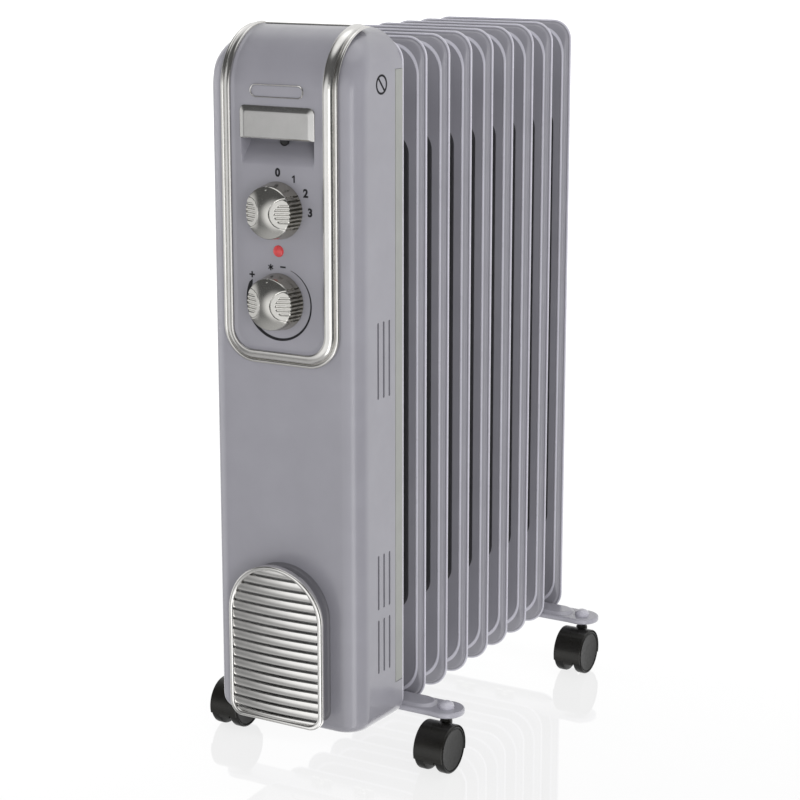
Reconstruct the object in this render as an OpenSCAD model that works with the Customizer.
// Oil filled radiator heater on four twin wheel casters.
// Millimetres, +Z up, front towards -Y. The origin is on the floor, under the
// middle of the heater.

/* [Radiator] */
// Number of pressed fins
fin_count = 9; // [7:1:9]
// Distance from one fin to the next
fin_pitch = 39.4; // [38:0.2:42]
// Width of a fin
fin_w = 147.6; // [140:0.2:150]
// Height of a fin
fin_h = 580; // [560:5:600]
// Half thickness of the raised oil channels
channel_t = 4; // [3:0.5:4.5]
// Half thickness of the welded seam and web
seam_t = 0.8; // [0.5:0.1:1.2]
// Height of the fins' lower edge above the floor
foot_h = 44; // [42:1:50]

/* [Housing] */
// Half width of the front housing
house_w = 74; // [72:0.5:76]
// Distance from the first fin to the front of the housing
house_d = 70; // [66:1:80]
// Wall thickness
wall = 2.2; // [1.8:0.1:3]
// Height that the control panel stands proud of the housing
panel_t = 4; // [3:0.5:5]

/* [Controls] */
// Height of the power selector above the fins' lower edge
selector_up = 445; // [440:1:450]
// Height of the thermostat above the fins' lower edge
thermostat_up = 370.4; // [365:0.2:375]
// Radius of a knob at its base
knob_r = 23.5; // [20:0.5:24]
// Length of a knob up to its rim
knob_h = 15; // [12:0.5:16]

/* [Grille] */
// Half width of the front grille
grille_w = 46; // [42:1:48]
// Number of slots in the grille
slot_count = 15; // [9:1:15]
// Distance from one slot to the next
slot_pitch = 8.55; // [8.5:0.05:8.6]

/* [Casters] */
// Radius of a caster wheel
wheel_r = 20.8; // [20:0.2:21]
// Distance of the wheel axle behind the swivel stem
trail = 12; // [8:1:13]
// Distance of a stem from the middle of the heater
stem_x = 105.4; // [104:0.2:108]
// Radius of the swivel stem
stem_r = 4.25; // [4:0.25:4.5]

/* [Hidden] */
$fn = 64;
cut = 1;               // overrun of a cutting solid

body_grey = "#95949c";
chrome = "silver";
black = "#1c1c1e";

// Places along Y
fin_y = -113.9;                      // first fin's middle plane
front_y = fin_y - house_d;           // housing front
panel_y = front_y - panel_t;         // control panel front
rear_edge_y = fin_y - 1.5;           // housing rear edge
last_fin_y = fin_y + (fin_count - 1) * fin_pitch;

// Places along Z
house_bottom = foot_h + 3.5;
house_top = foot_h + 589.5;
selector_z = foot_h + selector_up;
thermostat_z = foot_h + thermostat_up;
lamp_z = foot_h + 411.9;
lower_port_z = foot_h + 48;
upper_port_z = foot_h + 532;

// Housing roundings
top_r = 34.5;          // top corners, seen from the front
base_r = 14;           // bottom corners, seen from the front
brow_r = 49;           // front to top, seen from the side
sill_r = 10;           // front to bottom, seen from the side
edge_r = 17;           // front to sides, seen from above

// Trim and panel outline, seen from the front
trim_w = 55.5;
trim_base = foot_h + 317;
trim_r = 29.5;
band = 11.5;           // width of the whole trim
lip = 4;               // width of its low outer lip
trim_end_y = fin_y - 20;
band_rise = 6.5;       // height of the trim's band above the housing front
lip_rise = 2.4;        // height of its lip above the housing front
top_drop = 3;          // how much lower trim and panel stand on the top

// Grip recess
grip_w = 34.5;
grip_low = foot_h + 484;
grip_high = foot_h + 526;
grip_depth = 14;
grip_wall = 2;

// Grille
grille_low = foot_h + 11.5;
grille_arch_z = foot_h + 103.5;
grille_back_y = front_y - 14;
bow_y = front_y - 21.3;
bow_r = 322;
boss_w = 41;
first_slot_z = foot_h + 19.6;

// Ports and collars of the radiator
port_r = 15;
collar_r = 19;

// Brackets and casters
bracket_low = foot_h + 4;
bracket_t = 5;
bracket_end_r = 16;
bracket_half = 15;
front_stem_y = fin_y + fin_pitch / 2;
rear_stem_y = last_fin_y - fin_pitch / 2;
hood_r = 21.9;
hood_in_r = 21.15;
hood_droop = 16;       // degrees that the hood reaches below its axle
wheel_half = 14.1;     // half width over both wheels
web_half = 5;          // half width of the hood's middle web
axle_r = 2.5;
shaft_gap = 0.05;      // radial running clearance

// Slits in the sides: [low end, high end] above the fins' lower edge, and places along Y
slit_rows = [[291, 352.7], [110, 155], [53.7, 98.6]];
slit_y = [-39.2, -30.8, -22.4];
slit_t = 2.4;

// Screw posts, rear plate and mains inlet
post_x = 58;
post_zs = [foot_h + 66, foot_h + 528];
post_r = 4.5;
screw_r = 1.9;
plate_y = fin_y - 13.2;
plate_t = 1.2;
inlet_z = foot_h + 30;
inlet_y = fin_y - 38;
inlet_hole_r = 8;
flange_low = foot_h + 36.5;
flange_high = foot_h + 557;

// Knobs: gap to the panel, rim radius, dome height and thumb pads
knob_gap = 0.5;
knob_face_r = knob_r - 2;
knob_dome = 7;
pad_x = 17.5;
pad_r = 12.8;
pad_rise = 1.3;
pad_slant = 22;

// Heating element
element_y = fin_y - channel_t;
flange_r = 22;

// Fin outline, seam, webs and middle channel
fin_top_r = 18.2;
fin_low_r = 20.4;
seam_w = 4.2;
web_w = 55;
web_low = 82;
web_high = 500;
web_r = 18;
spine_w = 15;

// U-bolts and wing nuts
bolt_x = collar_r + 3.1;
bolt_r = 2.5;
nut_high = bracket_low - 0.1;

// ---------------------------------------------------------------- helpers

// Extrudes an outline drawn in X and Z from y to y + len
module along_y(y, len) {
    translate([0, y + len, 0]) rotate([90, 0, 0]) linear_extrude(len) children();
}

// Extrudes an outline drawn in Y and Z from x to x + len
module along_x(x, len) {
    translate([x, 0, 0]) rotate([90, 0, 90]) linear_extrude(len) children();
}

// A round bar along +Y
module rod_y(x, y, z, r, len) {
    translate([x, y, z]) rotate([-90, 0, 0]) cylinder(h = len, r = r);
}

// A round bar along +X
module rod_x(x, y, z, r, len) {
    translate([x, y, z]) rotate([0, 90, 0]) cylinder(h = len, r = r);
}

// A block from one corner to the other
module block(low, high) {
    translate(low) cube(high - low);
}

// Rectangle of half width w from z1 to z2 with its own radius at top and bottom
module round_outline(w, z1, z2, rt, rb) {
    translate([-w, z1 + rb]) square([2 * w, z2 - z1 - rb - rt]);
    translate([-(w - rt), z2 - rt]) square([2 * (w - rt), rt]);
    translate([-(w - rb), z1]) square([2 * (w - rb), rb]);
    for (s = [-1, 1]) {
        translate([s * (w - rt), z2 - rt]) circle(rt);
        translate([s * (w - rb), z1 + rb]) circle(rb);
    }
}

// ---------------------------------------------------------------- housing

// Side view of the housing; grow moves the surface outwards
module side_outline(grow, back_y) {
    brow_y = front_y + brow_r;
    brow_z = house_top - brow_r;
    sill_z = house_bottom + sill_r;
    translate([brow_y, brow_z]) circle(brow_r + grow);
    translate([front_y + sill_r, sill_z]) circle(sill_r + grow);
    translate([front_y - grow, sill_z]) square([back_y - front_y + grow, brow_z - sill_z]);
    translate([brow_y, brow_z - 1]) square([back_y - brow_y, brow_r + grow + 1]);
    translate([front_y + sill_r, house_bottom - grow]) square([back_y - front_y - sill_r, sill_r + grow + 1]);
}

// Outer form of the housing; grow moves the surface outwards
module housing_form(grow, back_y) {
    w = house_w + grow;
    intersection() {
        along_y(front_y - 20, back_y - front_y + 20)
            round_outline(w, house_bottom - grow, house_top + grow, top_r + grow, base_r + grow);
        along_x(-w - cut, 2 * (w + cut)) side_outline(grow, back_y);
        translate([0, 0, -cut]) linear_extrude(700) {
            translate([-w, front_y + edge_r]) square([2 * w, back_y - front_y - edge_r]);
            translate([-(house_w - edge_r), front_y - grow]) square([2 * (house_w - edge_r), edge_r + grow + 1]);
            for (s = [-1, 1])
                translate([s * (house_w - edge_r), front_y + edge_r]) circle(edge_r + grow);
        }
    }
}

// Arch outline of the grille, inset by the given amount
module arch_outline(inset) {
    w = grille_w - inset;
    corner = 12 - inset / 2;
    translate([0, grille_arch_z]) circle(w);
    translate([-w, grille_low + inset + corner])
        square([2 * w, grille_arch_z - grille_low - inset - corner]);
    translate([-(w - corner), grille_low + inset]) square([2 * (w - corner), corner + 1]);
    for (s = [-1, 1])
        translate([s * (w - corner), grille_low + inset + corner]) circle(corner);
}

module side_slits() {
    depth = wall + 2;
    for (x = [-house_w - cut, house_w + cut - depth], row = slit_rows, y = slit_y)
        along_x(x, depth) {
            translate([fin_y + y - slit_t / 2, foot_h + row[0]]) square([slit_t, row[1] - row[0]]);
            for (z = row) translate([fin_y + y, foot_h + z]) circle(slit_t / 2);
        }
}

module housing_shell() {
    color(body_grey) difference() {
        union() {
            difference() {
                housing_form(0, rear_edge_y);
                housing_form(-wall, rear_edge_y + cut);
            }
            for (x = [-post_x, post_x], z = post_zs)
                rod_y(x, front_y + 1, z, post_r, plate_y - front_y - 1);
        }
        // window behind the grille
        along_y(front_y - cut, 10) arch_outline(grille_w - boss_w + wall);
        // window behind the grip recess
        block([-grip_w - 4, front_y - cut, grip_low - 4], [grip_w + 4, front_y + 5, grip_high + 4]);
        // holes for the spindles and the lamp
        rod_y(0, front_y - cut, selector_z, 6, 6);
        rod_y(0, front_y - cut, thermostat_z, 6, 6);
        rod_y(0, front_y - cut, lamp_z, 5.5, 6);
        // screw holes in the posts
        for (x = [-post_x, post_x], z = post_zs)
            rod_y(x, plate_y - 14, z, screw_r, 14 + cut);
        // notches that take the rear plate's side flanges
        for (s = [-1, 1])
            translate([s * house_w, 0, 0])
                block([-wall - 1, plate_y - 0.2, flange_low], [wall + 1, fin_y, flange_high]);
        // room for the first fin above the rear edge of the bottom
        block([-house_w + 3, fin_y - channel_t - 0.5, house_bottom - cut],
              [house_w - 3, rear_edge_y + cut, house_bottom + wall + 1]);
        side_slits();
        // hole for the mains lead's bush
        rod_x(-house_w - cut, inlet_y, inlet_z, inlet_hole_r, 8);
    }
}

module rear_plate() {
    color(body_grey) difference() {
        union() {
            along_y(plate_y, plate_t)
                round_outline(house_w - wall - 0.3, house_bottom + wall + 0.3, house_top - wall - 0.3,
                              top_r - wall, base_r - wall);
            for (s = [-1, 1])
                translate([s * (house_w - 0.85), 0, 0])
                    block([-0.6, fin_y - 12.3, flange_low + 0.3], [0.6, fin_y - 1.3, flange_high - 0.3]);
            for (s = [-1, 1])
                translate([s * (house_w - 2), 0, 0])
                    block([-1.4, plate_y, flange_low + 0.3], [1.4, plate_y + plate_t, flange_high - 0.3]);
        }
        // clearance for the heating element's flange
        rod_y(0, plate_y - cut, lower_port_z, collar_r + 7, 4);
        rod_y(0, plate_y - cut, upper_port_z, collar_r + 3, 4);
        for (x = [-post_x, post_x], z = post_zs)
            rod_y(x, plate_y - cut, z, screw_r + 0.3, 4);
    }
}

module housing_screws() {
    color(chrome)
        for (x = [-post_x, post_x], z = post_zs) {
            rod_y(x, plate_y - 10, z, screw_r - 0.05, 10 + plate_t);
            rod_y(x, plate_y + plate_t, z, 3.6, 2.2);
        }
}

// ---------------------------------------------------------------- front trim

module trim_outline(inset) {
    w = trim_w - inset;
    r = trim_r - inset;
    round_outline(w, trim_base + inset, house_top + 40, 4, r);
}

// What lies within the side outline, raised by front_rise at the front and top_rise
// at the top, ahead of the trim's rear end
module brow_form(front_rise, top_rise) {
    shift = (front_rise - top_rise) / 2;
    translate([0, -shift, -shift])
        along_x(-house_w, 2 * house_w) side_outline((front_rise + top_rise) / 2, trim_end_y + shift);
}

module trim_frame() {
    color(chrome) difference() {
        union() {
            intersection() {
                along_y(front_y - 20, house_d) difference() {
                    trim_outline(lip);
                    trim_outline(band);
                }
                brow_form(band_rise, band_rise - top_drop);
            }
            intersection() {
                along_y(front_y - 20, house_d) difference() {
                    trim_outline(0);
                    trim_outline(band);
                }
                brow_form(lip_rise, lip_rise - top_drop / 2);
            }
            // bar that joins both sides at the rear of the top
            intersection() {
                block([-trim_w, trim_end_y - 5, house_top - 12], [trim_w, trim_end_y, house_top + 20]);
                brow_form(panel_t + 0.6, panel_t + 0.6 - top_drop);
            }
        }
        housing_form(0.15, rear_edge_y);
    }
}

module control_panel() {
    recess_y = panel_y + grip_depth;
    color(body_grey) difference() {
        union() {
            difference() {
                intersection() {
                    along_y(front_y - 20, house_d) trim_outline(band + 0.2);
                    brow_form(panel_t, panel_t - top_drop);
                }
                housing_form(0.15, rear_edge_y);
                block([-house_w, trim_end_y - 5.2, house_top - 12], [house_w, trim_end_y + 2, house_top + 20]);
            }
            block([-grip_w - grip_wall, front_y - 0.5, grip_low - grip_wall],
                  [grip_w + grip_wall, recess_y + grip_wall, grip_high + grip_wall]);
        }
        // finger recess with a sloping floor
        along_x(-grip_w, 2 * grip_w)
            polygon([[panel_y - cut, grip_low - 1.2], [recess_y, grip_low + 16],
                     [recess_y, grip_high], [panel_y - cut, grip_high]]);
        // drain and fixing hole at the back of the recess
        rod_y(0, recess_y - cut, grip_low + 18, 4, 6);
        rod_y(0, panel_y - cut, selector_z, 5, 8);
        rod_y(0, panel_y - cut, thermostat_z, 5, 8);
        rod_y(0, panel_y - cut, lamp_z, 5.1, 8);
    }
}

module name_badge() {
    color(chrome) along_y(panel_y - 1.2, 1.2) {
        translate([-20, foot_h + 535]) square([40, 11]);
        for (s = [-1, 1]) translate([s * 20, foot_h + 540.5]) circle(5.5);
    }
}

module grip_plate() {
    plate_w = 35.6;
    color(chrome) along_y(panel_y - 2.2, 2.2)
        round_outline(plate_w, foot_h + 502, foot_h + 528.7, 5, 1.2);
}

// ---------------------------------------------------------------- controls

// A drum with a domed face and a slanting thumb pad on either side of it
module knob(z) {
    rim_y = panel_y - knob_gap - knob_h;
    ball_r = (knob_face_r * knob_face_r + knob_dome * knob_dome) / (2 * knob_dome);
    spindle_end = 9;
    difference() {
        union() {
            translate([0, panel_y - knob_gap, z]) rotate([90, 0, 0])
                cylinder(h = knob_h, r1 = knob_r, r2 = knob_face_r);
            intersection() {
                translate([0, rim_y - knob_dome + ball_r, z]) sphere(r = ball_r);
                rod_y(0, rim_y - knob_dome - cut, z, knob_face_r, knob_dome + 2 * cut);
            }
        }
        for (s = [-1, 1])
            translate([s * pad_x, rim_y - pad_rise, z]) rotate([90, 0, s * pad_slant]) cylinder(h = 20, r = pad_r);
        rod_y(0, panel_y - knob_gap - spindle_end, z, 3.02, spindle_end + cut);
    }
}

module selector_knob() { color(chrome) knob(selector_z); }
module thermostat_knob() { color(chrome) knob(thermostat_z); }

module spindle(z) {
    color("silver") rod_y(0, panel_y - 9.3, z, 3, panel_t + wall + 9.3 + 10);
}

module selector_spindle() { spindle(selector_z); }
module thermostat_spindle() { spindle(thermostat_z); }

// Body of a rotary control with the bush that its spindle turns in
module control_body(z, half_w, half_h, depth) {
    face_y = front_y + wall + 0.5;
    difference() {
        union() {
            rod_y(0, front_y + 0.3, z, 5.4, wall + 0.4);
            block([-half_w, face_y, z - half_h], [half_w, face_y + depth, z + half_h]);
        }
        rod_y(0, front_y, z, 3 + shaft_gap, 14);
    }
}

module selector_switch() { color(black) control_body(selector_z, 22, 15, 26); }
module thermostat_body() { color("tan") control_body(thermostat_z, 17, 14, 22); }

module indicator_lens() {
    color("crimson") intersection() {
        union() {
            rod_y(0, panel_y - 0.6, lamp_z, 4.8, 6.4);
            translate([0, panel_y + 4.6, lamp_z]) sphere(r = 7.2);
        }
        rod_y(0, panel_y - 6, lamp_z, 4.8, 11.8);
    }
}

module indicator_lamp() {
    color("white") {
        rod_y(0, panel_y + 6, lamp_z, 3.2, 14);
        rod_y(0, panel_y + 20, lamp_z, 4.2, 6);
    }
}

// ---------------------------------------------------------------- inside the housing

module front_grille() {
    rim = 3.8;
    slot_t = 3.3;
    color(chrome) difference() {
        intersection() {
            along_y(bow_y - cut, grille_back_y - bow_y + cut) arch_outline(0);
            translate([0, bow_y + bow_r, 0]) cylinder(h = 400, r = bow_r, $fn = 360);
        }
        intersection() {
            along_y(bow_y - 2 * cut, 14) arch_outline(rim);
            for (i = [0 : slot_count - 1])
                block([-60, bow_y - 3 * cut, first_slot_z + i * slot_pitch - slot_t / 2],
                      [60, bow_y + 16, first_slot_z + i * slot_pitch + slot_t / 2]);
        }
    }
}

// Short duct that carries the grille in front of the housing
module grille_duct() {
    color(body_grey) along_y(grille_back_y, front_y - grille_back_y) difference() {
        arch_outline(grille_w - boss_w);
        arch_outline(grille_w - boss_w + wall);
    }
}

module grille_backing() {
    color(black) along_y(grille_back_y + 4, 1.5) arch_outline(grille_w - boss_w + wall + 0.4);
}

module thermal_cutout() {
    color("ivory") {
        rod_y(-28, plate_y - 9, lower_port_z + 46, 8, 9);
        block([-37, plate_y - 12, lower_port_z + 42], [-19, plate_y - 9, lower_port_z + 50]);
    }
}

module tip_over_switch() {
    color(black) block([20, front_y + 20, house_bottom + 8], [44, plate_y - 3, house_bottom + 30]);
}

module terminal_block() {
    color("ivory") difference() {
        block([-30, front_y + 8, house_bottom + 104], [30, plate_y - 2, house_bottom + 116]);
        for (x = [-24, -12, 0, 12, 24])
            translate([x, front_y + 34, house_bottom + 110]) cylinder(h = 10, r = 2.4);
    }
}

// Insulated leads that rise from the terminal block to the controls
module wiring_loom() {
    lead_r = 1.2;
    low = house_bottom + 116;
    color("darkgreen")
        for (x = [-12, 0, 12])
            translate([x, front_y + 14, low]) cylinder(h = thermostat_z - 14 - low, r = lead_r);
    color("brown")
        for (x = [-20, 20])
            translate([x, front_y + 14, low]) cylinder(h = selector_z - 15 - low, r = lead_r);
}

// Bush that the mains lead passes through
module cord_inlet() {
    bore_r = 3.7;
    color(black) difference() {
        union() {
            rod_x(-house_w - 3, inlet_y, inlet_z, 11, 3);
            rod_x(-house_w, inlet_y, inlet_z, inlet_hole_r - 0.05, wall + 1);
            rod_x(-house_w + wall + 0.6, inlet_y, inlet_z, 10, 4);
        }
        rod_x(-house_w - 4, inlet_y, inlet_z, bore_r, 20);
    }
}

// ---------------------------------------------------------------- heating element

// One hairpin tube lying along Y
module hairpin(z, half, len) {
    tube_r = 3.8;
    bend_y = element_y + len;
    for (x = [-half, half]) rod_y(x, element_y - 26, z, tube_r, len + 26);
    translate([0, bend_y, z]) rotate_extrude(angle = 180) translate([half, 0]) circle(tube_r);
}

module heating_element() {
    color("silver") hairpin(lower_port_z, 8, 268);
}

module element_flange() {
    color("silver") difference() {
        rod_y(0, element_y - 9, lower_port_z, flange_r, 6.5);
        for (x = [-8, 8]) rod_y(x, element_y - 12, lower_port_z, 3.82, 14);
    }
}

module element_gasket() {
    color(black) difference() {
        rod_y(0, element_y - 2.5, lower_port_z, flange_r, 2.5);
        rod_y(0, element_y - 3.5, lower_port_z, port_r, 5);
    }
}

// ---------------------------------------------------------------- radiator

module fin(n) {
    y = fin_y + n * fin_pitch;
    port_cut = 2 * channel_t + 2;
    color(body_grey) difference() {
        union() {
            along_y(y - seam_t, 2 * seam_t)
                round_outline(fin_w / 2, foot_h, foot_h + fin_h, fin_top_r, fin_low_r);
            along_y(y - channel_t, 2 * channel_t)
                round_outline(fin_w / 2 - seam_w, foot_h + seam_w, foot_h + fin_h - seam_w,
                              fin_top_r - seam_w, fin_low_r - seam_w);
        }
        // webs between the middle oil channel and the side channels
        for (s = [-1, 1], face = [-1, 1])
            translate([s * (web_w + spine_w) / 2, 0, 0])
                along_y(face > 0 ? y + seam_t : y - channel_t - cut, channel_t - seam_t + cut)
                    round_outline((web_w - spine_w) / 2, foot_h + web_low, foot_h + web_high, web_r, web_r);
        for (z = [lower_port_z, upper_port_z])
            rod_y(0, y - port_cut / 2, z, port_r, port_cut);
    }
}

// Short tubes that join neighbouring fins
module collars(z) {
    color(body_grey)
        for (n = [0 : fin_count - 2])
            difference() {
                rod_y(0, fin_y + n * fin_pitch + channel_t, z, collar_r, fin_pitch - 2 * channel_t);
                rod_y(0, fin_y + n * fin_pitch, z, port_r, fin_pitch);
            }
}

module upper_collars() { collars(upper_port_z); }
module lower_collars() { collars(lower_port_z); }

// Discs that close the ports of the first and the last fin
module end_plugs() {
    plug_t = 2.5;
    color(body_grey) {
        for (z = [lower_port_z, upper_port_z])
            rod_y(0, last_fin_y + channel_t, z, collar_r, plug_t);
        rod_y(0, fin_y - channel_t - plug_t, upper_port_z, collar_r, plug_t);
    }
}

module filler_plug() {
    color("silver") rod_y(0, last_fin_y + channel_t + 2.5, upper_port_z, 6, 2.6);
}

// ---------------------------------------------------------------- brackets

module bracket(y) {
    raised_w = 82;
    raised_half = 11;
    raised_t = 2.5;
    color(body_grey) difference() {
        union() {
            block([-stem_x, y - bracket_half, bracket_low], [stem_x, y + bracket_half, bracket_low + bracket_t]);
            block([-raised_w, y - raised_half, bracket_low + bracket_t],
                  [raised_w, y + raised_half, bracket_low + bracket_t + raised_t]);
            for (s = [-1, 1])
                translate([s * stem_x, y, bracket_low]) cylinder(h = bracket_t, r = bracket_end_r);
        }
        for (s = [-1, 1])
            translate([s * stem_x, y, bracket_low - cut]) cylinder(h = 20, r = stem_r + shaft_gap);
        for (s = [-1, 1])
            translate([s * bolt_x, y, bracket_low - cut]) cylinder(h = 20, r = bolt_r + 0.3);
    }
}

module bracket_front() { bracket(front_stem_y); }
module bracket_rear() { bracket(rear_stem_y); }

// U-bolts that hang on the lower collars and pull the brackets up
module u_bolts() {
    color("silver")
        for (y = [front_stem_y, rear_stem_y]) {
            for (s = [-1, 1])
                translate([s * bolt_x, y, foot_h + 1]) cylinder(h = lower_port_z - foot_h - 1, r = bolt_r);
            translate([0, y, lower_port_z]) rotate([90, 0, 0])
                rotate_extrude(angle = 180) translate([bolt_x, 0]) circle(bolt_r);
        }
}

module wing_nuts() {
    color("silver")
        for (y = [front_stem_y, rear_stem_y], s = [-1, 1])
            difference() {
                union() {
                    translate([s * bolt_x, y, nut_high - 4]) cylinder(h = 4, r = 5);
                    block([s * bolt_x - 10, y - 1.2, nut_high - 7], [s * bolt_x + 10, y + 1.2, nut_high]);
                }
                translate([s * bolt_x, y, foot_h - 10]) cylinder(h = 20, r = bolt_r + 0.02);
            }
}

// Domed caps over the upper ends of the caster stems
module stem_caps() {
    cap_r = 6.9;
    cap_h = 3.6;
    ball_r = (cap_r * cap_r + cap_h * cap_h) / (2 * cap_h);
    color(body_grey)
        for (y = [front_stem_y, rear_stem_y], s = [-1, 1])
            translate([s * stem_x, y, bracket_low + bracket_t]) intersection() {
                translate([0, 0, cap_h - ball_r]) sphere(r = ball_r);
                cylinder(h = cap_h + 1, r = cap_r + 1);
            }
}

// ---------------------------------------------------------------- casters

// Moves a caster drawn about its stem to its corner
module at_corner(side, y) {
    translate([side * stem_x, y, 0]) children();
}

module hood() {
    difference() {
        union() {
            // thin cover over both wheels
            difference() {
                rod_x(-wheel_half, -trail, wheel_r, hood_r, 2 * wheel_half);
                rod_x(-wheel_half - cut, -trail, wheel_r, hood_in_r, 2 * wheel_half + 2 * cut);
                block([-30, -trail - 40, -30], [30, -trail + 40, wheel_r - hood_r * sin(hood_droop)]);
            }
            // web between the wheels, cut short of the floor
            intersection() {
                rod_x(-web_half, -trail, wheel_r, hood_in_r + 0.4, 2 * web_half);
                block([-30, -60, 4.5], [30, 30, 60]);
            }
            translate([0, 0, wheel_r + 8]) cylinder(h = bracket_low + bracket_t - wheel_r - 8.3, r = stem_r);
        }
        rod_x(-20, -trail, wheel_r, axle_r + 0.02, 40);
    }
}

module axle() {
    rod_x(-wheel_half + 1.5, -trail, wheel_r, axle_r, 2 * wheel_half - 3);
}

// One of the two wheels; side is -1 or +1 along X
module wheel(side) {
    inner = web_half + 0.4;
    width = wheel_half - inner;
    dish = 0.8;
    low_x = side > 0 ? inner : -wheel_half;
    difference() {
        rod_x(low_x, -trail, wheel_r, wheel_r, width);
        rod_x(low_x - cut, -trail, wheel_r, axle_r + shaft_gap, width - 1.3 + (side > 0 ? cut : 0) + (side > 0 ? 0 : 20));
        rod_x(side > 0 ? wheel_half - dish : -wheel_half - cut, -trail, wheel_r, wheel_r - 2.4, dish + cut);
    }
}

module caster_hood_fr() { color(black) at_corner(1, front_stem_y) hood(); }
module caster_hood_fl() { color(black) at_corner(-1, front_stem_y) hood(); }
module caster_hood_rr() { color(black) at_corner(1, rear_stem_y) hood(); }
module caster_hood_rl() { color(black) at_corner(-1, rear_stem_y) hood(); }
module caster_axle_fr() { color("silver") at_corner(1, front_stem_y) axle(); }
module caster_axle_fl() { color("silver") at_corner(-1, front_stem_y) axle(); }
module caster_axle_rr() { color("silver") at_corner(1, rear_stem_y) axle(); }
module caster_axle_rl() { color("silver") at_corner(-1, rear_stem_y) axle(); }
module wheel_outer_fr() { color(black) at_corner(1, front_stem_y) wheel(1); }
module wheel_inner_fr() { color(black) at_corner(1, front_stem_y) wheel(-1); }
module wheel_outer_fl() { color(black) at_corner(-1, front_stem_y) wheel(-1); }
module wheel_inner_fl() { color(black) at_corner(-1, front_stem_y) wheel(1); }
module wheel_outer_rr() { color(black) at_corner(1, rear_stem_y) wheel(1); }
module wheel_inner_rr() { color(black) at_corner(1, rear_stem_y) wheel(-1); }
module wheel_outer_rl() { color(black) at_corner(-1, rear_stem_y) wheel(-1); }
module wheel_inner_rl() { color(black) at_corner(-1, rear_stem_y) wheel(1); }

// ---------------------------------------------------------------- nodes

housing_shell();
rear_plate();
trim_frame();
control_panel();
name_badge();
grip_plate();
selector_knob();
selector_spindle();
selector_switch();
thermostat_knob();
thermostat_spindle();
thermostat_body();
indicator_lens();
indicator_lamp();
front_grille();
grille_duct();
grille_backing();
thermal_cutout();
tip_over_switch();
terminal_block();
wiring_loom();
cord_inlet();
heating_element();
element_flange();
element_gasket();
filler_plug();
end_plugs();
fin(0);  // fin_0
fin(1);  // fin_1
fin(2);  // fin_2
fin(3);  // fin_3
fin(4);  // fin_4
fin(5);  // fin_5
fin(6);  // fin_6
fin(7);  // fin_7
fin(8);  // fin_8
upper_collars();
lower_collars();
bracket_front();
bracket_rear();
u_bolts();
wing_nuts();
stem_caps();
housing_screws();
caster_hood_fr();
caster_axle_fr();
wheel_outer_fr();
wheel_inner_fr();
caster_hood_fl();
caster_axle_fl();
wheel_outer_fl();
wheel_inner_fl();
caster_hood_rr();
caster_axle_rr();
wheel_outer_rr();
wheel_inner_rr();
caster_hood_rl();
caster_axle_rl();
wheel_outer_rl();
wheel_inner_rl();
